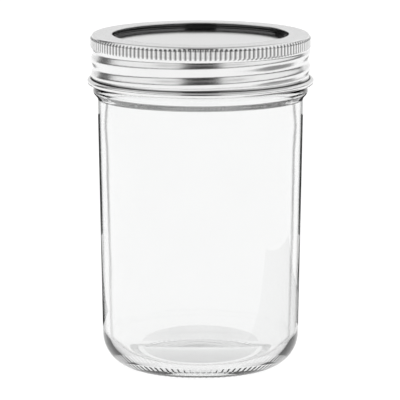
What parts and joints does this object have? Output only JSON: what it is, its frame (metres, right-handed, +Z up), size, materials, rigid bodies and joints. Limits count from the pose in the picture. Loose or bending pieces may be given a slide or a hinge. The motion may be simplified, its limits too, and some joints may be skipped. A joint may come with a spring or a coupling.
{
  "type": "sourdough starter jar",
  "caption": "Clear wide-mouth glass storage jar with a rounded heel, closed by a flat metal lid with a sealing ring under a knurled screw band with a rolled foot.",
  "frame": {"origin": "centre of the ring that the jar stands on", "axes": "+Z up along the jar's axis, from the base to the closure; -Y faces the viewer"},
  "size_m": [0.0922, 0.0922, 0.137],
  "materials": {
    "clear_glass": "polished clear soda-lime glass, colourless",
    "lid_tinplate": "bright tin-plated sheet, smooth, faint rolling grain",
    "sealing_compound": "soft pale grey lining compound, satin",
    "band_tinplate": "bright tin-plated sheet, rolled and knurled"
  },
  "bodies": {
    "jar": {"glass_jar": "clear_glass"},
    "lid": {"lid_disc": "lid_tinplate", "sealing_ring": "sealing_compound"},
    "band": {"screw_band": "band_tinplate"}
  },
  "joints": [
    {"name": "lid_lift", "type": "slide", "parent": "jar", "child": "lid", "axis": [0, 0, 1], "range_m": [0, 0.08]},
    {"name": "band_turn", "type": "hinge", "parent": "lid", "child": "band", "pos_m": [0, 0, 0.127], "axis": [0, 0, 1], "range_deg": [0, 450]}
  ]
}
